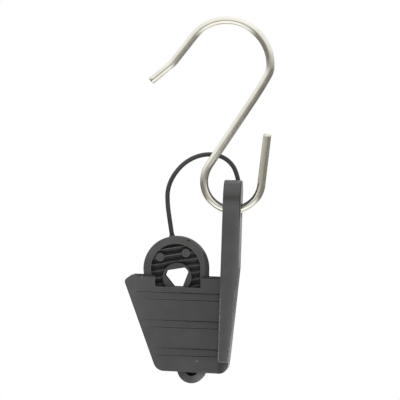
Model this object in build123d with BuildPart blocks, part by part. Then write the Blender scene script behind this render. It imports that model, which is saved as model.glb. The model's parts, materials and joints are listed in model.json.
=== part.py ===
# Drop cable clamp: a tapered shell hung from an S-hook by the eye of its spine, with a grooved
# wedge that grips a looped cable in the shell, and a thin moulded tether that keeps the wedge.
# Millimetres. The origin is the hook's seat, the underside of its upper bend at the top.
# +Z is up along the spine, +X is to the right in the front view, and the front faces -Y.
from math import asin, ceil, cos, pi, radians, sin, sqrt, tan
import os

from build123d import *

os.makedirs("parts", exist_ok=True)

# Hook: bent wire, bends are measured to the wire's centreline
wire_d = 4.0
upper_bend_r = 21.3
upper_bend_turn = 89.8
side_bend_r = 9.6
side_bend_turn = 27.3
shank_bow_r = 150.0
shank_bow_turn = 4.9
shank_run = 38.8
lower_bend_r = 13.8
leg_bend_turn = 85.0
leg_run = 24.6
arm_bend_r = 20.2
arm_bend_turn = 53.7
arm_run = 15.3
reverse_bend_r = 15.0
reverse_bend_turn = 12.4
tip_run = 11.1
wire_end_chamfer = 0.35

# Spine and eye
spine_thickness = 8.6
spine_proud = 1.5
crown_overhang = 0.2
crown_height = 14.4
crown_neck_round = 1.2
eye_offset = 0.35
eye_clearance = 0.36
eye_mouth_chamfer = 0.5
spine_taper = 4.4
taper_lead = 4.5
spine_foot = 4.95
foot_round = 1.4
spine_round = 0.45

# Shell
body_top_drop = 32.45
body_height = 45.6
bottom_fall = 0.45
body_depth = 14.4
plate_thickness = 2.0
side_wall = 3.3
ear_top = 4.7
ear_side = 2.8
ear_round = 2.0
slanted_bottom_round = 5.2
spine_bottom_round = 4.4
plate_edge_round = 0.5
notch_width = 22.35
notch_depth = 5.3
notch_from_spine = 8.95
notch_round = 0.5
band_count = 3
band_height = 3.4
band_pitch = 13.3
band_first_drop = 7.8
band_relief = 0.6
band_inset = 2.8
line_width = 0.45
line_relief = 0.4
upper_line_inset = 4.1
upper_line_step = 1.0
lower_line_inset = 8.2
lower_line_step = 1.9

# Wedge
wedge_angle = 21.6
head_r = 15.55
tail_r = 6.85
head_drop = 28.95
centre_distance = 48.75
cable_gap = 6.25
face_clearance = 0.3
rim_width = 3.6
rim_round = 0.4
pocket_depth = 3.6
pocket_drop = 0.1
ridge_pitch = 3.32
ridge_first_drop = 1.8
ridge_height = 1.9
crest_share = 0.25
boss_drop = 4.3
boss_r = 6.9
boss_below_rim = 0.4
key_hole_r = 6.0
key_flat = 4.1
pad_r = 2.1
pad_centre_x = -0.35
pad_offset_x = 6.35
pad_offset_y = 6.6
pad_below_rim = 0.9
groove_width = 5.2
groove_depth = 1.5
gate_angle = 34.0
gate_length = 1.7
gate_width = 0.6
gate_depth = 0.4
lug_width = 2.8
lug_height = 0.6

# Tether
tether_d = 2.2
tether_lead = 7.3
tether_bite = 1.3
run_share = 0.45

# Worked out
wire_r = wire_d / 2
lower_turn = upper_bend_turn + side_bend_turn + shank_bow_turn
half_taper = wedge_angle / 2
up_x = -sin(radians(half_taper))
up_z = cos(radians(half_taper))
flank = asin((head_r - tail_r) / centre_distance)


# S-hook: the wire's path runs from the seat both ways, then the wire is swept along it
with BuildPart() as s_hook:
    with BuildLine(Plane.XZ) as hook_path:
        upper = JernArc((0, wire_r), (1, 0), upper_bend_r, -upper_bend_turn)
        side = JernArc(upper @ 1, upper % 1, side_bend_r, -side_bend_turn)
        bow = JernArc(side @ 1, side % 1, shank_bow_r, -shank_bow_turn)
        shank = Line(bow @ 1, bow @ 1 + (bow % 1) * shank_run)
        lower = JernArc(shank @ 1, shank % 1, lower_bend_r, lower_turn + leg_bend_turn)
        leg = Line(lower @ 1, lower @ 1 + (lower % 1) * leg_run)
        arm_bend = JernArc((0, wire_r), (-1, 0), arm_bend_r, arm_bend_turn)
        arm = Line(arm_bend @ 1, arm_bend @ 1 + (arm_bend % 1) * arm_run)
        reverse = JernArc(arm @ 1, arm % 1, reverse_bend_r, -reverse_bend_turn)
        tip = Line(reverse @ 1, reverse @ 1 + (reverse % 1) * tip_run)
    with BuildSketch(Plane(origin=leg @ 1, z_dir=leg % 1)):
        Circle(wire_r)
    sweep(path=hook_path.wires()[0])
    wire_ends = s_hook.faces().filter_by(GeomType.PLANE)
    chamfer(wire_ends.edges(), wire_end_chamfer)

s_hook.part.label = "s_hook"
export_step(s_hook.part, "parts/s_hook.step")

# The eye hangs just beside the lowest point of the lower bend. The wire rises by wire_rise
# between there and the spine's far side, and the hole leaves room for that.
eye_x = lower.center_point.X + eye_offset
eye_z = lower.center_point.Z - sqrt(lower_bend_r**2 - eye_offset**2)
wire_rise = lower_bend_r - sqrt(lower_bend_r**2 - (spine_thickness / 2 + eye_offset) ** 2)
eye_r = wire_r + wire_rise + eye_clearance
print("eye", round(eye_x, 3), round(eye_z, 3))

# Places that the shell and the wedge share: the wedge's sides lie along the two channel
# walls, one cable gap from each
spine_inner_x = eye_x - spine_thickness / 2
spine_outer_x = eye_x + spine_thickness / 2
body_top_z = eye_z - body_top_drop
body_bottom_z = body_top_z - body_height
body_low_z = body_bottom_z - bottom_fall
foot_z = body_bottom_z + spine_foot
taper_top_z = body_top_z + taper_lead
spine_depth = body_depth + 2 * spine_proud
crown_r = spine_depth / 2 + crown_overhang
crown_z = eye_z + crown_height - crown_r
head_x = spine_inner_x - cable_gap - head_r
head_z = eye_z - head_drop
cavity_depth = body_depth - 2 * plate_thickness
wedge_depth = cavity_depth - 2 * face_clearance


def slanted_x(z, distance):
    """X at height z on the line that is this far from the head's centre, along the slanted wall."""
    slope = radians(wedge_angle)
    return head_x - (distance + sin(slope) * (z - head_z)) / cos(slope)


def tapered_x(z):
    """X of the spine's outer side at height z: upright below the eye, tapered beside the shell."""
    return spine_outer_x - max(0.0, taper_top_z - z) * tan(radians(spine_taper))


def on_spine_outline(edge):
    """True on the bar's edges along its front and back and over its crown."""
    middle = edge.center()
    at_a_side = min(abs(middle.X - spine_inner_x), abs(middle.X - tapered_x(middle.Z))) < 0.01
    return at_a_side and abs(middle.Y) > 0.01


def on_plate_rim(edge):
    """True on the outer rim of a plate, false where the spine stands on it."""
    middle = edge.center()
    outside_spine = middle.X < spine_inner_x - 0.001 or middle.Z < foot_z - 0.001
    return outside_spine and abs(abs(middle.Y) - body_depth / 2) < 0.001


channel_wall = head_r + cable_gap
outer_wall = channel_wall + side_wall
above = body_top_z + body_height
below = body_bottom_z - body_height

# Clamp shell: one moulding, plates and walls with the spine and its eye
with BuildPart() as clamp_shell:
    # spine, seen from the side: a bar under a round crown that overhangs it a little
    with BuildSketch(Plane.YZ.offset(spine_inner_x)) as side_view:
        with Locations((0, crown_z)):
            Circle(crown_r)
            Rectangle(spine_depth, crown_z - foot_z, align=(Align.CENTER, Align.MAX))
        necks = side_view.vertices().filter_by(lambda v: abs(abs(v.X) - spine_depth / 2) < 0.001)
        fillet(necks.sort_by(Axis.Y)[-2:], crown_neck_round)
    extrude(amount=spine_thickness)
    foot_edges = clamp_shell.edges().filter_by(Axis.Y).group_by(Axis.Z)[0]
    fillet(foot_edges.sort_by(Axis.X)[0], foot_round)
    # the outer side leans in beside the shell
    with BuildSketch(Plane.XZ):
        with BuildLine():
            Polyline(
                (spine_outer_x, taper_top_z),
                (tapered_x(below), below),
                (spine_outer_x + spine_thickness, below),
                (spine_outer_x + spine_thickness, taper_top_z),
                close=True,
            )
        make_face()
    extrude(amount=spine_depth, both=True, mode=Mode.SUBTRACT)
    fillet(clamp_shell.edges().filter_by(on_spine_outline), spine_round)

    # plates and walls, drawn from the front
    with BuildSketch(Plane.XZ) as outline:
        with BuildLine():
            Polyline(
                (slanted_x(body_top_z, outer_wall) + ear_top, body_top_z),
                (slanted_x(body_top_z - ear_side, outer_wall), body_top_z - ear_side),
                (slanted_x(body_bottom_z, outer_wall), body_bottom_z),
                (tapered_x(body_low_z), body_low_z),
                (tapered_x(body_top_z), body_top_z),
                close=True,
            )
        make_face()
        fillet(outline.vertices().sort_by(Axis.X)[:2], ear_round)
        fillet(outline.vertices().sort_by(Axis.Y)[1], slanted_bottom_round)
        fillet(outline.vertices().sort_by(Axis.Y)[0], spine_bottom_round)
    extrude(amount=body_depth / 2, both=True)
    fillet(clamp_shell.edges().filter_by(on_plate_rim), plate_edge_round)

    # tapered channel, open at the top and at the bottom
    with BuildSketch(Plane.XZ):
        with BuildLine():
            Polyline(
                (slanted_x(above, channel_wall), above),
                (slanted_x(below, channel_wall), below),
                (spine_inner_x, below),
                (spine_inner_x, above),
                close=True,
            )
        make_face()
    extrude(amount=cavity_depth / 2, both=True, mode=Mode.SUBTRACT)

    # notches in both plates, over the wedge's hole
    with BuildSketch(Plane.XZ):
        notch_x = spine_inner_x - notch_from_spine - notch_width / 2
        with Locations((notch_x, body_top_z)):
            RectangleRounded(notch_width, 2 * notch_depth, notch_round)
    extrude(amount=body_depth, both=True, mode=Mode.SUBTRACT)

    # shallow bands across both plates, deepest at the spine and running out to the left,
    # each between two fine lines
    for band in range(band_count):
        band_z = body_top_z - band_first_drop - band * band_pitch
        rim_x = slanted_x(band_z, outer_wall)
        upper_x = rim_x + upper_line_inset + band * upper_line_step
        lower_x = rim_x + lower_line_inset - band * lower_line_step
        cuts = (
            (band_z, band_height, rim_x + band_inset, 0, band_relief),
            (band_z, line_width, upper_x, line_relief, band_relief + line_relief),
            (band_z - band_height, line_width, lower_x, line_relief, band_relief + line_relief),
        )
        for top_z, height, start_x, start_relief, spine_relief in cuts:
            for side_sign in (-1, 1):
                face_y = side_sign * body_depth / 2
                with BuildSketch(Plane.XY.offset(top_z)):
                    with BuildLine():
                        Polyline(
                            (start_x, face_y),
                            (spine_inner_x, face_y),
                            (spine_inner_x, face_y - side_sign * spine_relief),
                            (start_x, face_y - side_sign * start_relief),
                            close=True,
                        )
                    make_face()
                extrude(amount=-height, mode=Mode.SUBTRACT)

    # eye hole, eased at both mouths
    with BuildSketch(Plane.YZ.offset(spine_inner_x)):
        with Locations((0, eye_z)):
            Circle(eye_r)
    extrude(amount=spine_thickness, mode=Mode.SUBTRACT)
    mouths = clamp_shell.edges().filter_by(GeomType.CIRCLE).filter_by(
        lambda edge: abs(edge.radius - eye_r) < 0.001
    )
    chamfer(mouths, eye_mouth_chamfer)

clamp_shell.part.label = "clamp_shell"
export_step(clamp_shell.part, "parts/clamp_shell.step")


# Wedge: drawn in its own leaning plane, with the head's centre at (0, 0) and the tail below it
wedge_plane = Plane(origin=(head_x, 0, head_z), x_dir=(up_z, 0, -up_x), z_dir=(0, -1, 0))


def teardrop(inset):
    """The wedge's outline drawn in by inset: two arcs joined by their common tangents."""
    big = head_r - inset
    small = tail_r - inset
    side_x = cos(flank)
    side_y = -sin(flank)
    with BuildSketch() as shape:
        with BuildLine():
            right = Line(
                (small * side_x, small * side_y - centre_distance), (big * side_x, big * side_y)
            )
            ThreePointArc(right @ 1, (0, big), (-big * side_x, big * side_y))
            left = Line(
                (-big * side_x, big * side_y), (-small * side_x, small * side_y - centre_distance)
            )
            ThreePointArc(left @ 1, (0, -small - centre_distance), right @ 0)
        make_face()
    return shape.sketch


rim_outline = teardrop(0)
pocket_outline = Pos(0, -pocket_drop) * teardrop(rim_width)
half_wedge = wedge_depth / 2
floor_height = half_wedge - pocket_depth
ridge_length = 2 * head_r
ridge_count = ceil((centre_distance + head_r + tail_r) / ridge_pitch)
flange_width = (wedge_depth - groove_width) / 2
groove_r = (groove_width**2 / 4 + groove_depth**2) / (2 * groove_depth)
groove_path = wedge_plane * teardrop(groove_depth - groove_r).wire()

# The ridges of one pocket: saw teeth across the wedge, trimmed to the pocket's outline.
# They are drawn from the side, with the first axis up along the wedge and the second to the front.
tooth_plane = Plane(wedge_plane.origin, x_dir=(up_x, 0, up_z), z_dir=(up_z, 0, -up_x))
first_tooth = head_r - rim_width - ridge_first_drop + (1 + crest_share) * ridge_pitch
with BuildPart() as ridges:
    with BuildSketch(tooth_plane.offset(-head_r)):
        for tooth in range(ridge_count):
            tooth_top = first_tooth - tooth * ridge_pitch
            with BuildLine():
                Polyline(
                    (tooth_top, 0),
                    (tooth_top - crest_share * ridge_pitch, floor_height + ridge_height),
                    (tooth_top - ridge_pitch, floor_height),
                    (tooth_top - ridge_pitch, 0),
                    close=True,
                )
            make_face()
    extrude(amount=ridge_length)
    with BuildSketch(wedge_plane):
        add(pocket_outline)
    extrude(amount=half_wedge, both=True, mode=Mode.INTERSECT)

with BuildPart() as wedge:
    with BuildSketch(wedge_plane):
        add(rim_outline)
    extrude(amount=half_wedge, both=True)
    rims = wedge.edges().group_by(Axis.Y)
    fillet(rims[0] + rims[-1], rim_round)

    # cable groove round the edge
    with BuildSketch(Plane(origin=groove_path @ 0, z_dir=groove_path % 0)):
        Circle(groove_r)
    sweep(path=groove_path, mode=Mode.SUBTRACT)

    # a pocket in each side, with its ridges
    for side_sign in (1, -1):
        with BuildSketch(wedge_plane.offset(side_sign * half_wedge)):
            add(pocket_outline)
        extrude(amount=-side_sign * pocket_depth, mode=Mode.SUBTRACT)
    add(ridges.part)
    mirror(ridges.part, about=Plane.XZ)

    # boss round the hole, and the two ejector pads above it
    with BuildSketch(wedge_plane):
        with Locations((0, -boss_drop)):
            Circle(boss_r)
    extrude(amount=half_wedge - boss_below_rim, both=True)
    with BuildSketch(wedge_plane):
        with Locations((pad_centre_x, pad_offset_y)):
            with Locations((-pad_offset_x, 0), (pad_offset_x, 0)):
                Circle(pad_r)
    extrude(amount=half_wedge - pad_below_rim, both=True)

    # hole with three flats, one of them on top
    with BuildSketch(wedge_plane):
        with Locations((0, -boss_drop)):
            Circle(key_hole_r)
            RegularPolygon(key_flat, 3, major_radius=False, rotation=-90, mode=Mode.INTERSECT)
    extrude(amount=wedge_depth, both=True, mode=Mode.SUBTRACT)

    # short gate mark on the front rim
    with BuildSketch(wedge_plane.offset(half_wedge)):
        with PolarLocations(head_r - gate_width, 1, start_angle=90 - gate_angle):
            Rectangle(gate_width, gate_length)
    extrude(amount=-gate_depth, mode=Mode.SUBTRACT)

    # lug for the tether, on the back flange at the crown
    lug_y = half_wedge - flange_width / 2
    lug_reach = head_r + lug_height
    lug_top = Vector(head_x + lug_reach * up_x, lug_y, head_z + lug_reach * up_z)
    with BuildSketch(Plane(lug_top, x_dir=(up_z, 0, -up_x), z_dir=(up_x, 0, up_z))):
        RectangleRounded(lug_width, flange_width, flange_width / 3)
    extrude(amount=-lug_height - rim_width / 2)

wedge.part.label = "wedge"
export_step(wedge.part, "parts/wedge.step")


# Tether: out of the lug along the wedge's axis, up behind the hook's shank, and down into
# the back of the crown. The points between are chosen by hand, as offsets from the eye.
crown_entry_x = 2.5
crown_entry_y = 5.4
crown_entry_z = crown_z + sqrt(crown_r**2 - crown_entry_y**2)
tether_route = [
    lug_top,
    lug_top + Vector(up_x, 0, up_z) * tether_lead,
    Vector(eye_x - 31.9, 4.4, eye_z + 2.3),
    Vector(eye_x - 32.1, 4.9, eye_z + 9.2),
    Vector(eye_x - 29.4, 5.4, eye_z + 16.1),
    Vector(eye_x - 24.1, 5.8, eye_z + 22.3),
    Vector(eye_x - 16.8, 6.2, eye_z + 26.1),
    Vector(eye_x - 9.0, 6.3, eye_z + 26.5),
    Vector(eye_x - 2.8, 6.2, eye_z + 23.7),
    Vector(eye_x + 1.3, 5.8, eye_z + 17.9),
    Vector(eye_x + crown_entry_x, crown_entry_y, crown_entry_z - tether_bite),
]


def bend_radii(points):
    """The largest arcs that the runs leave room for, one at each corner of the route."""
    radii = []
    for before, corner, after in zip(points, points[1:], points[2:]):
        run_in = corner - before
        run_out = after - corner
        half_turn = radians(run_in.get_angle(run_out)) / 2
        radii.append(run_share * min(run_in.length, run_out.length) / tan(half_turn))
    return radii


tether_radii = bend_radii(tether_route)
print("tether bend radii", [round(r, 1) for r in tether_radii])

with BuildPart() as tether:
    with BuildLine() as tether_path:
        FilletPolyline(*tether_route, radius=tether_radii)
    with BuildSketch(Plane(tether_route[0], z_dir=(up_x, 0, up_z))):
        Circle(tether_d / 2)
    sweep(path=tether_path.wires()[0])

tether.part.label = "tether"
export_step(tether.part, "parts/tether.step")
tether_length = tether_path.wires()[0].length
print("tether length", round(tether_length, 2))
print("tether volume", round(tether.part.volume, 2), round(tether_length * pi * tether_d**2 / 4, 2))
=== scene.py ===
"""The looks of the drop cable clamp: drawn steel wire, moulded plastic and a thin moulded tether."""

import json
import math

import bmesh
import bpy
from mathutils import Matrix, Vector


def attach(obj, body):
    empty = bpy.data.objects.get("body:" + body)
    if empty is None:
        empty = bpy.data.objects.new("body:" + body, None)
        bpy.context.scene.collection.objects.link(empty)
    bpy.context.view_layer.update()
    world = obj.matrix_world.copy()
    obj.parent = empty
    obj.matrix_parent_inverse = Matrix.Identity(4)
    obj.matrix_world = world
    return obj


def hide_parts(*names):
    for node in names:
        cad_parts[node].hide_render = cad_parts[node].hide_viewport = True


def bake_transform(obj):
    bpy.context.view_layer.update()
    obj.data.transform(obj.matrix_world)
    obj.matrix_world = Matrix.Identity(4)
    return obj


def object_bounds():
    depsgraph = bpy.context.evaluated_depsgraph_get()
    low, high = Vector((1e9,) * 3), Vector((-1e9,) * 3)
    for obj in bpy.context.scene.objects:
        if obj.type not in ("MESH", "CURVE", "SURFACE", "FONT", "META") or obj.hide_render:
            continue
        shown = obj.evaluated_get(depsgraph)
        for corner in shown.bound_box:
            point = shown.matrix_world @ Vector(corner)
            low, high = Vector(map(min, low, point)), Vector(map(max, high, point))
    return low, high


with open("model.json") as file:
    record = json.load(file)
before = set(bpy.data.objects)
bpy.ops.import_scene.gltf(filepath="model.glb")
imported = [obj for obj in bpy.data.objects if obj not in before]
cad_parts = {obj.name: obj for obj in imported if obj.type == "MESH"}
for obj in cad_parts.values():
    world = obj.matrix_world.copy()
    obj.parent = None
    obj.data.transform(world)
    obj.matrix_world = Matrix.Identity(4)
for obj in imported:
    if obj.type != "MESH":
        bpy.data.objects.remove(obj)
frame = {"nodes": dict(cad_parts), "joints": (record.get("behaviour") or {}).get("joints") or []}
cad_low, cad_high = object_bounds()

MM = 0.001
joints = {joint["name"]: joint for joint in frame["joints"]}
eye = Vector(joints["eye_swing"]["pos_m"])
wedge_up = Vector(joints["wedge_slide"]["axis"])
wedge_right = Vector((wedge_up.z, 0.0, -wedge_up.x))

# Photograph: its size, its scale and lean, and the pixel of the hook's seat, the frame's origin
PHOTO_SIZE = 400
SEAT_PIXEL = (227.5, 24.7)
PIXEL = 0.48 * MM
PHOTO_LEAN = math.radians(1.9)
CAMERA_AZIMUTH = math.radians(4.4)
CAMERA_ELEVATION = math.radians(0.7)
CAMERA_DISTANCE = 1.3
SENSOR_WIDTH = 36.0

# Hook: its bends in order from the seat, as (radius, turn) or (None, run), to the wire's centreline
WIRE_R = 2.0
SHANK_SIDE = ((21.3, -89.8), (9.6, -27.3), (150.0, -4.9), (None, 38.8), (13.8, 207.0), (None, 24.6))
ARM_SIDE = ((20.2, 53.7), (None, 15.3), (15.0, -12.4), (None, 11.1))
END_CHAMFER = 0.35
WIRE_SIDES = 40
RUN_STEP = 1.5
TURN_STEP = 2.5

# Tether: its route, from the lug on the wedge to the back of the crown, as offsets from the eye
TETHER_D = 2.2
TETHER_SIDES = 28
HEAD_OFFSET = Vector((-26.1, 0.0, -28.95))
LUG_REACH = 16.15
LUG_Y = 3.75
LUG_LEAD = 7.3
TETHER_OFFSETS = (
    (-31.9, 4.4, 2.3),
    (-32.1, 4.9, 9.2),
    (-29.4, 5.4, 16.1),
    (-24.1, 5.8, 22.3),
    (-16.8, 6.2, 26.1),
    (-9.0, 6.3, 26.5),
    (-2.8, 6.2, 23.7),
    (1.3, 5.8, 17.9),
    (2.5, 5.4, 11.27),
)

# Plastics: two shades of the colour, the lowest and highest roughness, and the lighter shade of edge wear and
# painted highlights
SHELL_LOOK = ((0.086, 0.086, 0.086), (0.102, 0.102, 0.101), (0.42, 0.56), (0.20, 0.20, 0.197))
WEDGE_LOOK = ((0.078, 0.078, 0.077), (0.092, 0.092, 0.091), (0.44, 0.58), (0.20, 0.20, 0.197))
# the tether's plastic: the same moulding as the shell, made much darker as painted shade
TETHER_LOOK = ((0.030, 0.030, 0.029), (0.042, 0.042, 0.040), (0.36, 0.48), (0.08, 0.08, 0.078))
PLASTIC_IOR = 1.47
# how wide the lighter edges are, partly wear and partly a painted highlight
WEAR_AND_HIGHLIGHT_EDGE = 0.32 * MM

# Steel: its tints where it is dull and bright, the cut ends' dark and light ones, and the roughness that its
# drawn lines and its dull patches add up to
WIRE_TINTS = [(0.30, (0.79, 0.765, 0.685)), (0.62, (0.89, 0.865, 0.785))]
CUT_TINTS = [(0.35, (0.16, 0.155, 0.145)), (0.65, (0.42, 0.41, 0.385))]
DRAWN_ROUGHNESS = [(0.3, 0.14), (0.75, 0.22)]
PATCH_ROUGHNESS = [(0.5, 0.0), (0.75, 0.08)]
CUT_ROUGHNESS = [(0.3, 0.35), (0.7, 0.6)]

# Textures: how often each repeats in a metre, the drawn lines as (round, along) the wire
CLOUDS = 150.0
SPECKS = 1700.0
RUBS = 420.0
GRAIN = 4200.0
EDGE_DOTS = 1100.0
FLANK_STREAKS = 600.0
POCKET_SHADES = 900.0
CREST_SHADES = 700.0
WIRE_PATCHES = 130.0
WIRE_WAVES = 260.0
DRAWN_LINES = (60.0, 55.0)
CUT_TEARS = 3800.0
# how deep the bumps of some are
GRAIN_DEPTH = 0.06 * MM
WAVE_DEPTH = 0.05 * MM
DRAWN_DEPTH = 0.012 * MM
TEAR_DEPTH = 0.08 * MM
# and how strong others are, by the noise's own value
SPECK_STRENGTH = [(0.32, 0.15), (0.62, 0.8)]
DOT_STRENGTH = [(0.42, 0.10), (0.60, 1.0)]
STREAK_STRENGTH = [(0.3, 0.5), (0.7, 1.0)]
POCKET_STRENGTH = [(0.35, 0.78), (0.65, 1.0)]
CREST_STRENGTH = [(0.38, 0.25), (0.60, 0.85)]

# Shell: the lines that its shades follow, in millimetres, and the light scuffs on its front plate
SPINE_INNER = 1.113
SPINE_OUTER = 9.713
BODY_TOP = -121.25
FIRST_BAND = 7.8
BAND_PITCH = 13.3
BAND_HEIGHT = 3.4
LINE_WIDTH = 0.45
TAPER_TOP = -116.75
SPINE_TAPER = math.radians(4.4)
FOOT_TOP = -161.9
SHELL_SCUFFS = (((-8.8, -7.2, -161.6), 0.55), ((-36.6, -7.2, -122.2), 0.40))
SCUFF_STRENGTH = 0.7

# Shell's painted light and shade as stops of (millimetres, factor). The last letter of a name is the axis
# that it follows, and IN is the distance in from the spine's outer edge. All factors stay at or under 1,
# where a ramp ends.
# painted shade: the plates darker from the left towards the spine
PLATE_X = [
    (-40, 0.77), (-34, 0.645), (-24, 0.56), (-16, 0.605), (-12, 0.60), (-8, 0.54), (-3, 0.50), (1, 0.485),
]
# painted shade near the spine, by height, lighter towards the bottom
PLATE_Z = [
    (-163, 1.0), (-161, 0.95), (-159.8, 0.84), (-155.8, 0.84), (-154, 0.90), (-148, 0.89), (-146.8, 0.85),
    (-129, 0.85), (-127, 0.90),
]
NEAR_SPINE_X = [(-24, 0.0), (-16, 1.0)]
# the plates lighter along their bottom edge
BOTTOM_EDGE_Z = [(-167.2, 0.78), (-166.4, 0.62), (-165.6, 0.0)]
# painted shade: a dark line along the plates' top edge, but not at the ear's corner
TOP_EDGE_Z = [(BODY_TOP - 0.80, 1.0), (BODY_TOP - 0.55, 0.12), (BODY_TOP + 0.1, 0.12), (BODY_TOP + 0.2, 1.0)]
TOP_CORNER_X = [(-39.6, 1.0), (-38.4, 0.0)]
# painted light and shade: a dark line at the spine's outer edge, then a lighter band that fades inwards
SPINE_IN = [(0.0, 0.86), (0.1, 0.86), (0.3, 1.0), (1.2, 0.87), (2.3, 0.71), (4.0, 0.625), (8.6, 0.655)]
# painted light: the spine lighter towards its top
SPINE_HEAD_Z = [(-116, 0.0), (-86, 0.88)]
# painted shadow below the spine's foot
UNDER_FOOT_X = [(SPINE_INNER, 0.33), (2.3, 0.29), (3.6, 0.40), (5.0, 0.60)]
# painted shade: a dark band at the crown's foot, lighter again towards its top
CROWN_Z = [
    (-87.0, 1.0), (-84.9, 0.82), (-84.0, 0.60), (-82.3, 0.49), (-80.3, 0.59), (-77.5, 0.70), (-74.5, 0.78),
]
# painted reflection: a dark line down the crown's side, between its front and its flank
CROWN_SIDE_IN = [(0.05, 1.0), (0.2, 0.42), (0.5, 0.42), (0.8, 1.0)]
BELOW_CROWN_Z = [(-94, 1.0), (-88, 0.0)]
PARTING_Y = [(0, 0.4), (0.11, 0.4), (0.22, 1.0)]
# where edges lighten, partly wear and partly a painted highlight: on the plates, hardly on the spine
WEAR_AND_HIGHLIGHT_X = [(SPINE_INNER, 1.0), (SPINE_INNER + 0.5, 1.0), (SPINE_INNER + 0.9, 0.1), (11, 0.1)]
CROWN_GLOSS_Z = [(-84.3, 1.0), (-83.5, 0.6), (-74.5, 0.6)]

# Bands' lines, painted shade in and beside their grooves: by the distance below the top of a band's upper
# line, by depth, and along the line
LINE_STEP = [
    (0.0, 1.0), (LINE_WIDTH, 1.0), (LINE_WIDTH + 0.05, 0.0), (BAND_HEIGHT - 0.05, 0.0), (BAND_HEIGHT, 0.65),
    (BAND_HEIGHT + LINE_WIDTH, 0.65), (BAND_HEIGHT + LINE_WIDTH + 0.05, 0.0), (BAND_PITCH, 0.0),
]
LINE_Y = [(7.0, 1.0), (7.18, 0.0)]
LINE_X = [(-34, 0.15), (-20, 0.55), (-12, 0.88), (1, 1.0)]
LIP_STEP = [
    (0.0, 1.0), (LINE_WIDTH + 0.08, 1.0), (LINE_WIDTH + 0.25, 0.0), (BAND_PITCH - 0.32, 0.0),
    (BAND_PITCH - 0.15, 1.0),
]
LIP_Z = [(BODY_TOP - FIRST_BAND + 0.15, 1.0), (BODY_TOP - FIRST_BAND + 0.32, 0.0)]
LIP_X = [(-30, 0.0), (-24, 0.25), (-16, 0.60), (-8, 0.72), (1, 0.92)]

# Spine's light marks, painted highlights: dots on its edges and foot, streaks of painted sheen on its flank
# beside the plates, and the corner below its foot
INNER_EDGE_X = [
    (SPINE_INNER, 0.6), (SPINE_INNER + 0.1, 0.9), (SPINE_INNER + 0.5, 0.9), (SPINE_INNER + 0.7, 0.0),
]
OUTER_EDGE_IN = [(0.0, 0.9), (0.4, 0.9), (0.7, 0.0)]
FOOT_EDGE_Z = [(FOOT_TOP, 0.8), (FOOT_TOP + 0.5, 0.8), (FOOT_TOP + 0.75, 0.0)]
PROUD_Y = [(8.0, 0.0), (8.3, 1.0)]
LOWER_Z = [(BODY_TOP - 8, 1.0), (BODY_TOP - 2, 0.0)]
UPPER_EDGE_IN = [(0.0, 0.55), (0.3, 0.55), (0.5, 0.0)]
UPPER_Z = [(BODY_TOP - 5, 0.0), (BODY_TOP, 1.0), (-98, 1.0), (-92, 0.0)]
FLANK_Z = [(BODY_TOP - 18, 0.34), (BODY_TOP - 8, 0.26), (BODY_TOP + 4, 0.0)]
CORNER_Z = [(FOOT_TOP - 5.0, 0.55), (FOOT_TOP - 1.5, 0.12), (FOOT_TOP, 0.04), (FOOT_TOP + 0.1, 0.0)]
CORNER_X = [(3.6, 0.0), (5.2, 1.0)]

# Faces turned to the side, by how far their normal lies along X
ON_FLANK = [(0.85, 0.0), (0.97, 1.0)]
OFF_FLANK = [(0.85, 1.0), (0.97, 0.0)]
FLANK_GLOSS = [(0.85, 1.0), (0.97, 0.67)]
TURNED_ASIDE = [(0.6, 0.0), (0.85, 1.0)]

# Wedge: its pockets, hole, boss and tail on its own leaning axes, and the mark of the mould's gate on its
# rim, darkened with painted shade
wedge_head = eye + HEAD_OFFSET * MM
POCKET_R = 12.3
POCKET_NARROWING = 0.178
POCKET_END = -52.4
POCKET_GLOSS = 0.75
HOLE_DROP = 4.3
HOLE_R = 6.05
BOSS_FACE = 4.42
# painted shade: the hole's wall dark
HOLE_TONE = 0.12
HOLE_GLOSS = 1.9
# painted highlight on the tail's right side, below TAIL_TOP
TAIL_TOP = -50
TAIL_HIGHLIGHT = 0.62
RIM_FACE = 4.8
GATE_REACH = 14.95
GATE_TURN = math.radians(34)
# painted shade darkens the gate's mark on the rim's face
GATE_R = 0.9
GATE_DARKNESS = 0.65

# Its painted light and shade as stops of (millimetres, factor), by depth from the middle plane, across it and
# along it
# painted highlight: lighter at the depth of the ridges' crests
CREST_TONE = [(3.05, 0.92), (3.15, 1.0), (3.3, 0.84), (4.1, 0.84)]
# painted shade: the pockets darker the deeper they lie, less so at their sides
POCKET_DEPTH = [
    (0, 0.21), (1.3, 0.235), (2.1, 0.40), (2.8, 0.66), *CREST_TONE, (4.25, 0.60), (4.6, 0.60), (4.8, 0.84),
]
SIDE_DEPTH = [
    (0, 0.36), (1.3, 0.39), (2.1, 0.50), (2.8, 0.70), *CREST_TONE, (4.25, 0.62), (4.6, 0.62), (4.8, 0.84),
]
SIDE_ACROSS = [(4.5, 0.0), (8.5, 1.0)]
# painted light: the rim's face lighter at the head's top and at the tail's end
FACE_ALONG = [(-53.5, 0.80), (-51, 0.63), (-6, 0.63), (4, 0.66), (11, 0.84)]
# painted shade: the rim's face on the right a little darker, and dark at its outer edge
FACE_OUTWARD = [(0, 1.0), (9, 0.90), (12.9, 0.90), (13.4, 1.0), (14.0, 1.0), (14.5, 0.45)]
# painted highlight across the tail, lighter on its right side
TAIL_ACROSS = [(-1, 0.0), (3, 1.0)]
# painted highlight along the ridges' crests
CREST_DEPTH = [(2.92, 0.0), (3.08, 1.0), (3.25, 1.0), (3.4, 0.0)]
# in the pockets, edges lighten only near the rim's face, partly wear and partly a painted highlight
WEAR_AND_HIGHLIGHT_DEPTH = [(4.1, 0.0), (4.3, 0.8)]

# Studio: how bright its walls and ceiling are for matt faces, from straight below (0) to straight above (1)
MATT_LEVELS = [(0.0, 0.20), (0.5, 0.36), (1.0, 1.05)]
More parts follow.
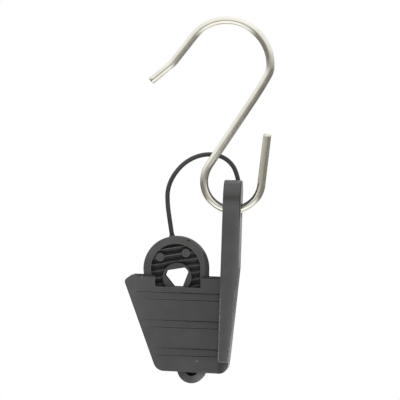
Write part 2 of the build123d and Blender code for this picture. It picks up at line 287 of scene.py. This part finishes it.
# and for mirrors from the horizon (0) to straight above (1), in shares of MIRROR_PEAK
MIRROR_PEAK = 1.2
MIRROR_LEVELS = [(0.0, 0.31), (0.06, 0.37), (0.20, 0.57), (0.38, 0.80), (0.7, 0.84), (1.0, 0.94)]
# The backdrop in mirrors, by how far the direction lies along Y
BACKDROP = [(0.80, 0.0), (0.92, 0.83)]
# The table in mirrors, by the distance to the side and to the front or back, in millimetres
TABLE_ASIDE = [(0, 1.0), (150, 1.0), (245, 0.22), (3000, 0.22)]
TABLE_AHEAD = [(0, 0.56), (50, 0.62), (120, 0.98), (500, 0.98), (1000, 0.82), (1500, 0.35), (3000, 0.33)]
# What mirrors see is a little warm where it is dark
WARM_SHADES = [
    (0.0, (0.0, 0.0, 0.0)), (0.30, (0.309, 0.300, 0.278)), (0.60, (0.606, 0.600, 0.578)),
    (1.0, (1.0, 1.0, 1.0)),
]

# Floor: how far below the part it lies, half its width, its grey, and where it turns white, all in metres
FLOOR_DROP = 0.06
FLOOR_REACH = 3.0
FLOOR_GREY = 0.86
FLOOR_WHITE_FROM = [(0.30, 0.0), (0.50, 1.0)]
WHITE = (1.0, 1.0, 1.0, 1.0)

# Lamps: the place from the picture's middle and the width in metres, and the watts
KEY_LAMP = (Vector((-0.30, -0.55, 0.95)), 0.9, 5.0)
FILL_LAMP = (Vector((0.45, -1.0, 0.15)), 0.7, 1.2)


# Shader nodes

class Web:
    """The nodes of one material or world. A value is a node's output, or a number where it says so."""

    def __init__(self, owner, output):
        owner.use_nodes = True
        self.nodes, self.links = owner.node_tree.nodes, owner.node_tree.links
        self.nodes.clear()
        self.output = self.nodes.new(output)

    def feed(self, socket, value):
        """Links the socket to an output, or sets it to a number or a colour."""
        if isinstance(value, bpy.types.NodeSocket):
            self.links.new(value, socket)
        else:
            socket.default_value = value

    def coordinate(self, name):
        return self.nodes.new("ShaderNodeTexCoord").outputs[name]

    def noise(self, vector, scale, detail, roughness=0.5):
        node = self.nodes.new("ShaderNodeTexNoise")
        node.inputs["Scale"].default_value = scale
        node.inputs["Detail"].default_value = detail
        node.inputs["Roughness"].default_value = roughness
        self.links.new(vector, node.inputs["Vector"])
        return node.outputs["Fac"]

    def stretched(self, vector, scale, offset=(0.0, 0.0, 0.0)):
        """The vector moved so that offset becomes its origin, and scaled."""
        node = self.nodes.new("ShaderNodeMapping")
        node.vector_type = "TEXTURE"
        node.inputs["Location"].default_value = offset
        node.inputs["Scale"].default_value = [1.0 / s for s in scale]
        self.links.new(vector, node.inputs["Vector"])
        return node.outputs["Vector"]

    def split(self, vector):
        """The three parts of a vector."""
        node = self.nodes.new("ShaderNodeSeparateXYZ")
        self.links.new(vector, node.inputs[0])
        return node.outputs[0], node.outputs[1], node.outputs[2]

    def ramp(self, value, stops, interpolation="LINEAR"):
        """A colour ramp; stops are (position, grey or colour)."""
        node = self.nodes.new("ShaderNodeValToRGB")
        node.color_ramp.interpolation = interpolation
        elements = node.color_ramp.elements
        while len(elements) < len(stops):
            elements.new(0.5)
        for element, (position, colour) in zip(elements, stops):
            element.position = position
            if isinstance(colour, (int, float)):
                colour = (colour, colour, colour)
            element.color = (*colour, 1.0)
        self.links.new(value, node.inputs["Fac"])
        return node.outputs["Color"]

    def by_place(self, value, stops):
        """A factor that follows a coordinate in metres; stops are (millimetres, factor)."""
        start, end = stops[0][0], stops[-1][0]
        share = self.nodes.new("ShaderNodeMapRange")
        self.links.new(value, share.inputs["Value"])
        share.inputs["From Min"].default_value = start * MM
        share.inputs["From Max"].default_value = end * MM
        return self.ramp(share.outputs[0], [((at - start) / (end - start), factor) for at, factor in stops])

    def combine(self, operation, first, second=0.0):
        """One step of arithmetic on outputs or numbers."""
        node = self.nodes.new("ShaderNodeMath")
        node.operation = operation
        self.feed(node.inputs[0], first)
        self.feed(node.inputs[1], second)
        return node.outputs[0]

    def product(self, *factors):
        result = factors[0]
        for factor in factors[1:]:
            result = self.combine("MULTIPLY", result, factor)
        return result

    def largest(self, *values):
        result = values[0]
        for value in values[1:]:
            result = self.combine("MAXIMUM", result, value)
        return result

    def size(self, value):
        return self.combine("ABSOLUTE", value)

    def rest(self, value):
        """What is left of 1."""
        return self.combine("SUBTRACT", 1.0, value)

    def chosen(self, test, first, second):
        """The factor or number first where test is 0, second where it is 1."""
        node = self.nodes.new("ShaderNodeMix")
        self.links.new(test, node.inputs["Factor"])
        self.feed(node.inputs[2], first)
        self.feed(node.inputs[3], second)
        return node.outputs[0]

    def tinted(self, amount, colour, tint):
        """The colour, turned to the tint where amount is 1."""
        node = self.nodes.new("ShaderNodeMix")
        node.data_type = "RGBA"
        self.links.new(amount, node.inputs["Factor"])
        self.links.new(colour, node.inputs[6])
        node.inputs[7].default_value = (*tint, 1.0)
        return node.outputs[2]

    def bump(self, height, strength, distance, normal=None):
        node = self.nodes.new("ShaderNodeBump")
        node.inputs["Strength"].default_value = strength
        node.inputs["Distance"].default_value = distance
        self.links.new(height, node.inputs["Height"])
        if normal is not None:
            self.links.new(normal, node.inputs["Normal"])
        return node.outputs["Normal"]

    def edges(self, radius):
        """1 on the piece's convex and concave edges, falling to 0 on its faces."""
        eased = self.nodes.new("ShaderNodeBevel")
        eased.samples = 6
        eased.inputs["Radius"].default_value = radius
        surface = self.nodes.new("ShaderNodeNewGeometry")
        turn = self.nodes.new("ShaderNodeVectorMath")
        turn.operation = "DOT_PRODUCT"
        self.links.new(eased.outputs[0], turn.inputs[0])
        self.links.new(surface.outputs["Normal"], turn.inputs[1])
        return self.ramp(turn.outputs["Value"], [(0.80, 1.0), (0.985, 0.0)])

    def spot(self, place, centre, radius):
        """1 within the radius round a place on the surface, in metres."""
        away = self.nodes.new("ShaderNodeVectorMath")
        away.operation = "DISTANCE"
        self.links.new(place, away.inputs[0])
        away.inputs[1].default_value = centre
        share = self.combine("DIVIDE", away.outputs["Value"], radius)
        return self.ramp(share, [(0.6, 1.0), (1.0, 0.0)])

    def blend(self, amount, first, second):
        """The shader first where amount is 0, second where it is 1."""
        node = self.nodes.new("ShaderNodeMixShader")
        self.links.new(amount, node.inputs[0])
        self.links.new(first, node.inputs[1])
        self.links.new(second, node.inputs[2])
        return node.outputs[0]

    def glow(self, kind, colour, strength=1.0):
        """A shader that shines with a colour: an emission, or a world's background."""
        node = self.nodes.new(kind)
        self.feed(node.inputs["Color"], colour)
        node.inputs["Strength"].default_value = strength
        return node.outputs[0]

    def show(self, shader):
        self.links.new(shader, self.output.inputs["Surface"])


def new_material(name):
    """An empty node material, as (material, web of its nodes, principled shader)."""
    material = bpy.data.materials.new(name)
    web = Web(material, "ShaderNodeOutputMaterial")
    shader = web.nodes.new("ShaderNodeBsdfPrincipled")
    web.show(shader.outputs["BSDF"])
    return material, web, shader


# Plastic

def moulded_plastic(name, dark, light, roughness, wear_and_highlight_colour, shade=None):
    """Dark moulded plastic: a fine spark-eroded grain, faint cloudy shade changes, and lighter edges, partly
    wear and partly a painted highlight. For each place, shade gives the factors for colour (painted light and
    shade), for the lighter edges and for roughness, and the light marks, mostly painted highlights."""
    material, web, shader = new_material(name)
    place = web.coordinate("Object")
    colour = web.ramp(web.noise(place, CLOUDS, detail=5.0), [(0.3, dark), (0.7, light)])
    specks = web.ramp(web.noise(place, SPECKS, detail=2.0), SPECK_STRENGTH)
    edge_wear_and_highlight = web.product(web.edges(WEAR_AND_HIGHLIGHT_EDGE), specks)
    rubs = web.noise(web.stretched(place, (1.0, 1.0, 0.35)), RUBS, detail=5.0)
    low, high = roughness
    rough = web.ramp(rubs, [(0.35, low), (0.7, high)])
    if shade:
        # tone scales the colour by painted light and shade, and marks are mostly painted highlights
        tone, wear_and_highlight_share, gloss, marks = shade(web, place)
        scaled = web.nodes.new("ShaderNodeVectorMath")
        scaled.operation = "SCALE"
        web.links.new(colour, scaled.inputs[0])
        web.links.new(tone, scaled.inputs["Scale"])
        colour = scaled.outputs[0]
        edge_wear_and_highlight = web.largest(web.product(edge_wear_and_highlight, wear_and_highlight_share), marks)
        rough = web.product(rough, gloss)
    web.links.new(web.tinted(edge_wear_and_highlight, colour, wear_and_highlight_colour), shader.inputs["Base Color"])
    web.links.new(rough, shader.inputs["Roughness"])
    grain = web.noise(place, GRAIN, detail=2.0)
    web.links.new(web.bump(grain, 0.25, GRAIN_DEPTH), shader.inputs["Normal"])
    shader.inputs["IOR"].default_value = PLASTIC_IOR
    return material


def band_lines(web, x, y, z):
    """Painted shade: dark in the fine lines above and below each band, wider along the upper ones, and
    darkest near the spine."""
    step = web.combine("SUBTRACT", (BODY_TOP - FIRST_BAND) * MM, z)
    step = web.combine("MODULO", step, BAND_PITCH * MM)
    sunk = web.by_place(web.size(y), LINE_Y)
    lines = web.product(web.by_place(step, LINE_STEP), sunk, web.by_place(x, LINE_X))
    lips = web.product(web.by_place(step, LIP_STEP), web.by_place(z, LIP_Z), web.by_place(x, LIP_X))
    return web.rest(web.largest(lines, lips))


def spine_marks(web, place, inset, facing_x):
    """Painted highlights: light dots on the spine's edges and its foot, streaks of painted sheen on its flank
    beside the plates, and a lighter corner below its foot.
    """
    x, y, z = web.split(place)
    proud = web.by_place(web.size(y), PROUD_Y)
    dots = web.ramp(web.noise(place, EDGE_DOTS, detail=2.0), DOT_STRENGTH)
    edges = web.largest(
        web.by_place(x, INNER_EDGE_X), web.by_place(inset, OUTER_EDGE_IN), web.by_place(z, FOOT_EDGE_Z)
    )
    lower = web.product(edges, proud, web.by_place(z, LOWER_Z), dots)
    upper = web.product(web.by_place(inset, UPPER_EDGE_IN), proud, dots, web.by_place(z, UPPER_Z))
    streaks = web.noise(web.stretched(place, (1.0, 1.0, 0.2)), FLANK_STREAKS, detail=4.0)
    flank = web.product(
        web.by_place(z, FLANK_Z), web.ramp(facing_x, ON_FLANK), web.ramp(streaks, STREAK_STRENGTH)
    )
    corner = web.product(web.by_place(z, CORNER_Z), web.by_place(x, CORNER_X))
    return web.largest(lower, upper, flank, corner)


def shell_shade(web, place):
    """Painted light and shade: the plates darken towards the spine and are dark on their top edge, the spine
    is lighter towards its outer side and its top and dark below its foot, and the crown is smoother, with a
    band of painted shade at its foot and a dark line of painted reflection down its side."""
    x, y, z = web.split(place)
    facing_x = web.size(web.split(web.coordinate("Normal"))[0])
    on_spine = web.combine("GREATER_THAN", x, (SPINE_INNER - 0.02) * MM)

    plate = web.product(
        web.by_place(x, PLATE_X), web.chosen(web.by_place(x, NEAR_SPINE_X), 1.0, web.by_place(z, PLATE_Z))
    )
    plate = web.largest(plate, web.by_place(z, BOTTOM_EDGE_Z))
    top_edge = web.largest(web.by_place(z, TOP_EDGE_Z), web.by_place(x, TOP_CORNER_X))
    plate = web.product(plate, top_edge, band_lines(web, x, y, z))

    drop = web.combine("MAXIMUM", web.combine("SUBTRACT", TAPER_TOP * MM, z), 0.0)
    outer = web.combine("SUBTRACT", SPINE_OUTER * MM, web.product(drop, math.tan(SPINE_TAPER)))
    inset = web.combine("SUBTRACT", outer, x)
    spine = web.largest(web.by_place(inset, SPINE_IN), web.by_place(z, SPINE_HEAD_Z))
    below_foot = web.combine("LESS_THAN", z, FOOT_TOP * MM)
    spine = web.chosen(below_foot, spine, web.by_place(x, UNDER_FOOT_X))

    crown_side = web.largest(web.by_place(inset, CROWN_SIDE_IN), web.by_place(z, BELOW_CROWN_Z))
    parting = web.largest(web.by_place(web.size(y), PARTING_Y), web.ramp(facing_x, OFF_FLANK))
    crown = web.by_place(z, CROWN_Z)
    tone = web.product(web.chosen(on_spine, plate, spine), crown, crown_side, parting)

    wear_and_highlight_share = web.product(web.by_place(x, WEAR_AND_HIGHLIGHT_X), top_edge)
    smooth = web.largest(web.by_place(z, CROWN_GLOSS_Z), web.ramp(facing_x, TURNED_ASIDE))
    gloss = web.product(smooth, web.ramp(facing_x, FLANK_GLOSS))
    marks = web.product(spine_marks(web, place, inset, facing_x), on_spine)
    for centre, radius in SHELL_SCUFFS:
        scuff = web.spot(place, tuple(c * MM for c in centre), radius * MM)
        marks = web.largest(marks, web.product(scuff, SCUFF_STRENGTH))
    return tone, wear_and_highlight_share, gloss, marks


def wedge_shade(web, place):
    """Painted shade darkens the pockets between their ridges' crests and the hole's wall, and the crests get
    a painted highlight.
    The pockets are found by the distance from the wedge's middle line, which narrows towards its tail."""
    turned = web.nodes.new("ShaderNodeVectorRotate")
    turned.rotation_type = "Y_AXIS"
    turned.inputs["Angle"].default_value = math.atan2(-wedge_up.x, wedge_up.z)
    web.links.new(web.stretched(place, (1.0, 1.0, 1.0), tuple(wedge_head)), turned.inputs["Vector"])
    across, y, along = web.split(turned.outputs[0])
    depth = web.size(y)

    def reach(height):
        squares = web.combine("ADD", web.product(across, across), web.product(height, height))
        return web.combine("SQRT", squares)

    narrowing = web.product(web.combine("MINIMUM", along, 0.0), POCKET_NARROWING)
    width = web.combine("ADD", narrowing, POCKET_R * MM)
    inside = web.combine("LESS_THAN", reach(web.combine("MAXIMUM", along, 0.0)), width)
    inside = web.product(inside, web.combine("GREATER_THAN", along, POCKET_END * MM))
    hole = web.combine("LESS_THAN", reach(web.combine("ADD", along, HOLE_DROP * MM)), HOLE_R * MM)
    hole = web.product(hole, web.combine("LESS_THAN", depth, BOSS_FACE * MM))

    at_side = web.by_place(web.size(across), SIDE_ACROSS)
    pocket = web.chosen(at_side, web.by_place(depth, POCKET_DEPTH), web.by_place(depth, SIDE_DEPTH))
    shades = web.noise(place, POCKET_SHADES, detail=2.0)
    pocket = web.product(pocket, web.ramp(shades, POCKET_STRENGTH))
    outward = web.combine("SUBTRACT", across, narrowing)
    face = web.product(web.by_place(along, FACE_ALONG), web.by_place(outward, FACE_OUTWARD))
    tail = web.combine("LESS_THAN", along, TAIL_TOP * MM)
    tail = web.chosen(tail, 0.0, web.by_place(across, TAIL_ACROSS))
    tone = web.chosen(inside, web.largest(face, tail), pocket)
    tone = web.chosen(hole, tone, HOLE_TONE)
    gate = (wedge_right * math.sin(GATE_TURN) + wedge_up * math.cos(GATE_TURN)) * GATE_REACH
    gate = wedge_head + (gate - Vector((0.0, RIM_FACE, 0.0))) * MM
    gate = web.spot(place, tuple(gate), GATE_R * MM)
    tone = web.product(tone, web.rest(web.product(gate, GATE_DARKNESS)))

    shades = web.noise(place, CREST_SHADES, detail=3.0)
    crests = web.product(web.by_place(depth, CREST_DEPTH), inside, web.ramp(shades, CREST_STRENGTH))
    marks = web.largest(crests, web.product(tail, TAIL_HIGHLIGHT))
    gloss = web.chosen(hole, web.chosen(inside, 1.0, POCKET_GLOSS), HOLE_GLOSS)
    wear_and_highlight_share = web.chosen(inside, 1.0, web.by_place(depth, WEAR_AND_HIGHLIGHT_DEPTH))
    return tone, wear_and_highlight_share, gloss, marks


# Steel

def drawn_steel(name):
    """Stainless wire: bright, with fine lines along its length from drawing and a few dull rubs."""
    material, web, shader = new_material(name)
    shader.inputs["Metallic"].default_value = 1.0
    along = web.nodes.new("ShaderNodeUVMap")
    along.uv_map = "along"
    lines = web.noise(web.stretched(along.outputs["UV"], (*DRAWN_LINES, 1.0)), 1.0, detail=4.0)
    place = web.coordinate("Object")
    dull = web.noise(place, WIRE_PATCHES, detail=5.0, roughness=0.6)
    web.links.new(web.ramp(dull, WIRE_TINTS), shader.inputs["Base Color"])
    rough = web.combine("ADD", web.ramp(lines, DRAWN_ROUGHNESS), web.ramp(dull, PATCH_ROUGHNESS))
    web.links.new(rough, shader.inputs["Roughness"])
    waves = web.bump(web.noise(place, WIRE_WAVES, detail=2.0), 0.35, WAVE_DEPTH)
    web.links.new(web.bump(lines, 0.18, DRAWN_DEPTH, waves), shader.inputs["Normal"])
    return material


def cut_steel(name):
    """The sheared ends of the wire: dull, with the tears of the cutter across them."""
    material, web, shader = new_material(name)
    shader.inputs["Metallic"].default_value = 1.0
    tears = web.noise(web.stretched(web.coordinate("Object"), (1.0, 0.2, 1.0)), CUT_TEARS, detail=4.0)
    web.links.new(web.ramp(tears, CUT_TINTS), shader.inputs["Base Color"])
    web.links.new(web.ramp(tears, CUT_ROUGHNESS), shader.inputs["Roughness"])
    web.links.new(web.bump(tears, 0.5, TEAR_DEPTH), shader.inputs["Normal"])
    return material


# Pieces

def dress(node, material):
    """Gives a carried-over piece its finished material."""
    piece = frame["nodes"][node]
    piece.data.materials.clear()
    piece.data.materials.append(material)


def add_piece(name, mesh):
    piece = bpy.data.objects.new(name, mesh)
    bpy.context.scene.collection.objects.link(piece)
    return piece


def tube(name, line, radii, sides):
    """A closed tube round a line of (point, direction) in millimetres, with a UV map along it in metres. Its
    two ends take the mesh's second material."""
    mesh = bpy.data.meshes.new(name)
    bm = bmesh.new()
    uv = bm.loops.layers.uv.new("along")
    rings, lengths, run = [], [], 0.0
    across = Vector((0.0, 1.0, 0.0))
    for k, ((point, way), radius) in enumerate(zip(line, radii)):
        if k:
            run += (point - line[k - 1][0]).length
        across = (across - way * across.dot(way)).normalized()
        other = way.cross(across)
        ring = []
        for s in range(sides):
            angle = 2 * math.pi * s / sides
            offset = across * math.cos(angle) + other * math.sin(angle)
            ring.append(bm.verts.new((point + offset * radius) * MM))
        rings.append(ring)
        lengths.append(run * MM)
    for k in range(len(rings) - 1):
        for s in range(sides):
            t = (s + 1) % sides
            face = bm.faces.new((rings[k][s], rings[k][t], rings[k + 1][t], rings[k + 1][s]))
            face.smooth = True
            corners = ((s, k), (s + 1, k), (s + 1, k + 1), (s, k + 1))
            for loop, (a, b) in zip(face.loops, corners):
                loop[uv].uv = (a / sides, lengths[b])
    for ring in (rings[0][::-1], rings[-1]):
        face = bm.faces.new(ring)
        face.material_index = 1
    bm.normal_update()
    bm.to_mesh(mesh)
    bm.free()
    return mesh


# Hook

def bent_wire(steps, heading):
    """Points in millimetres along a bent wire in the XZ plane, as (point, direction), from the seat's top."""
    point, turned = Vector((0.0, 0.0, WIRE_R)), math.radians(heading)
    line = []
    for radius, amount in steps:
        if radius is None:
            count = max(2, round(amount / RUN_STEP))
            way = Vector((math.cos(turned), 0.0, math.sin(turned)))
            line += [(point + way * amount * k / count, way) for k in range(count)]
            point = point + way * amount
            continue
        side = math.copysign(1.0, amount)
        centre = point + Vector((-math.sin(turned), 0.0, math.cos(turned))) * radius * side
        count = max(2, round(abs(amount) / TURN_STEP))
        for k in range(count + 1):
            angle = turned + math.radians(amount) * k / count
            way = Vector((math.cos(angle), 0.0, math.sin(angle)))
            point = centre - Vector((-way.z, 0.0, way.x)) * radius * side
            if k < count:
                line.append((point, way))
        turned += math.radians(amount)
    line.append((point, Vector((math.cos(turned), 0.0, math.sin(turned)))))
    return line


def build_hook():
    """The hook as one bent wire, with its two sheared ends."""
    there = bent_wire(SHANK_SIDE, 0.0)
    back = bent_wire(ARM_SIDE, 180.0)
    line = [(point, -way) for point, way in reversed(back)] + there[1:]
    (first, first_way), (last, last_way) = line[0], line[-1]
    arm_end = [(first, first_way), (first + first_way * END_CHAMFER, first_way)]
    shank_end = [(last - last_way * END_CHAMFER, last_way), (last, last_way)]
    middle = line[1:-1]
    radii = [WIRE_R - END_CHAMFER] + [WIRE_R] * (len(middle) + 2) + [WIRE_R - END_CHAMFER]
    mesh = tube("steel_hook", arm_end + middle + shank_end, radii, WIRE_SIDES)
    mesh.materials.append(drawn_steel("steel_wire"))
    mesh.materials.append(cut_steel("steel_cut"))
    hook = add_piece("steel_hook", mesh)
    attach(hook, "hook")
    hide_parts("s_hook")


# Tether

def read_route(points):
    """The smooth line of a NURBS spline with the route's points as its control points, in metres."""
    data = bpy.data.curves.new("tether_route", "CURVE")
    data.dimensions = "3D"
    data.resolution_u = 16
    spline = data.splines.new("NURBS")
    spline.points.add(len(points) - 1)
    for slot, point in zip(spline.points, points):
        slot.co = (*point, 1.0)
    spline.order_u = 3
    spline.use_endpoint_u = True
    curve = bpy.data.objects.new("tether_route", data)
    bpy.context.scene.collection.objects.link(curve)
    bpy.context.view_layer.update()
    mesh = bpy.data.meshes.new_from_object(curve)
    line = [vertex.co.copy() for vertex in mesh.vertices]
    bpy.data.objects.remove(curve)
    bpy.data.curves.remove(data)
    bpy.data.meshes.remove(mesh)
    return line


def build_tether(material):
    """The tether between the wedge and the crown. It bends from one to the other along a line nearly square
    to the wedge's slide, so that its tube isn't flattened when the wedge moves, and clears the hook's tip."""
    lug_top = eye + (HEAD_OFFSET + Vector((0.0, LUG_Y, 0.0))) * MM + wedge_up * LUG_REACH * MM
    points = [lug_top, lug_top + wedge_up * LUG_LEAD * MM]
    points += [eye + Vector(offset) * MM for offset in TETHER_OFFSETS]
    path = read_route(points)
    spread = [p / MM for p in path]
    line = []
    for k, point in enumerate(spread):
        before, after = spread[max(k - 1, 0)], spread[min(k + 1, len(spread) - 1)]
        line.append((point, (after - before).normalized()))
    mesh = tube("tether_cord", line, [TETHER_D / 2] * len(line), TETHER_SIDES)
    mesh.materials.append(material)
    mesh.materials.append(material)
    tether = add_piece("tether_cord", mesh)
    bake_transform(tether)
    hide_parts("tether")


# Stage, lights and camera

def build_stage():
    """A white floor under the part. Far from the part it is plain white to the camera, with no horizon."""
    mesh = bpy.data.meshes.new("floor")
    corners = ((-1, -1), (1, -1), (1, 1), (-1, 1))
    corners = [(x * FLOOR_REACH, y * FLOOR_REACH, cad_low.z - FLOOR_DROP) for x, y in corners]
    mesh.from_pydata(corners, [], [(0, 1, 2, 3)])
    material = bpy.data.materials.new("floor_white")
    web = Web(material, "ShaderNodeOutputMaterial")
    seen = web.nodes.new("ShaderNodeLightPath").outputs
    place = web.coordinate("Object")
    x, y, _ = web.split(place)
    matt = web.nodes.new("ShaderNodeBsdfDiffuse")
    matt.inputs["Color"].default_value = (FLOOR_GREY, FLOOR_GREY, FLOOR_GREY, 1.0)
    table = web.product(web.by_place(web.size(x), TABLE_ASIDE), web.by_place(web.size(y), TABLE_AHEAD))
    mirrored = web.glow("ShaderNodeEmission", web.ramp(table, WARM_SHADES), MIRROR_PEAK)
    near = web.blend(seen["Is Glossy Ray"], matt.outputs[0], mirrored)
    away = web.nodes.new("ShaderNodeVectorMath")
    away.operation = "LENGTH"
    web.links.new(place, away.inputs[0])
    far = web.ramp(away.outputs["Value"], FLOOR_WHITE_FROM, "EASE")
    direct = web.largest(seen["Is Camera Ray"], seen["Is Transmission Ray"])
    web.show(web.blend(web.product(direct, far), near, web.glow("ShaderNodeEmission", WHITE)))
    mesh.materials.append(material)
    add_piece("floor", mesh)


def build_world():
    """White to the camera. Matt faces get more light from above. Mirrors see walls that are brighter higher
    up, and the white backdrop behind the part."""
    world = bpy.data.worlds.new("studio")
    bpy.context.scene.world = world
    web = Web(world, "ShaderNodeOutputWorld")
    seen = web.nodes.new("ShaderNodeLightPath").outputs
    _, y, z = web.split(web.coordinate("Generated"))
    height = web.combine("ADD", web.combine("MULTIPLY", z, 0.5), 0.5)
    matt = web.glow("ShaderNodeBackground", web.ramp(height, MATT_LEVELS))
    walls = web.largest(web.ramp(z, MIRROR_LEVELS), web.ramp(y, BACKDROP, "EASE"))
    mirrored = web.glow("ShaderNodeBackground", web.ramp(walls, WARM_SHADES), MIRROR_PEAK)
    soft = web.blend(seen["Is Glossy Ray"], matt, mirrored)
    direct = web.largest(seen["Is Camera Ray"], seen["Is Transmission Ray"])
    web.show(web.blend(direct, soft, web.glow("ShaderNodeBackground", WHITE)))


def softbox(name, target, offset, width, watts):
    """A square area light that faces the target and isn't seen in mirrors."""
    data = bpy.data.lights.new(name, "AREA")
    data.shape = "SQUARE"
    data.size = width
    data.energy = watts
    lamp = bpy.data.objects.new(name, data)
    lamp.location = target + offset
    lamp.rotation_mode = "QUATERNION"
    lamp.rotation_quaternion = (-offset).to_track_quat("-Z", "Y")
    lamp.visible_glossy = False
    bpy.context.scene.collection.objects.link(lamp)


def build_camera():
    """The photograph's view. The middle of the picture is found from the seat's pixel."""
    back = Vector((
        math.sin(CAMERA_AZIMUTH) * math.cos(CAMERA_ELEVATION),
        -math.cos(CAMERA_AZIMUTH) * math.cos(CAMERA_ELEVATION),
        math.sin(CAMERA_ELEVATION),
    ))
    turn = back.to_track_quat("Z", "Y").to_matrix() @ Matrix.Rotation(PHOTO_LEAN, 3, "Z")
    right, up = turn.col[0], turn.col[1]
    middle = (right * (PHOTO_SIZE / 2 - SEAT_PIXEL[0]) + up * (SEAT_PIXEL[1] - PHOTO_SIZE / 2)) * PIXEL
    data = bpy.data.cameras.new("camera")
    data.sensor_width = SENSOR_WIDTH
    data.lens = SENSOR_WIDTH * CAMERA_DISTANCE / (PHOTO_SIZE * PIXEL)
    camera = bpy.data.objects.new("camera", data)
    camera.matrix_world = Matrix.Translation(middle + back * CAMERA_DISTANCE) @ turn.to_4x4()
    bpy.context.scene.collection.objects.link(camera)
    bpy.context.scene.camera = camera
    return middle


dress("clamp_shell", moulded_plastic("shell_plastic", *SHELL_LOOK, shell_shade))
dress("wedge", moulded_plastic("wedge_plastic", *WEDGE_LOOK, wedge_shade))
build_hook()
build_tether(moulded_plastic("tether_plastic", *TETHER_LOOK))
build_stage()
build_world()
middle = build_camera()
softbox("key", middle, *KEY_LAMP)
softbox("fill", middle, *FILL_LAMP)
bpy.context.scene.view_settings.view_transform = "Standard"
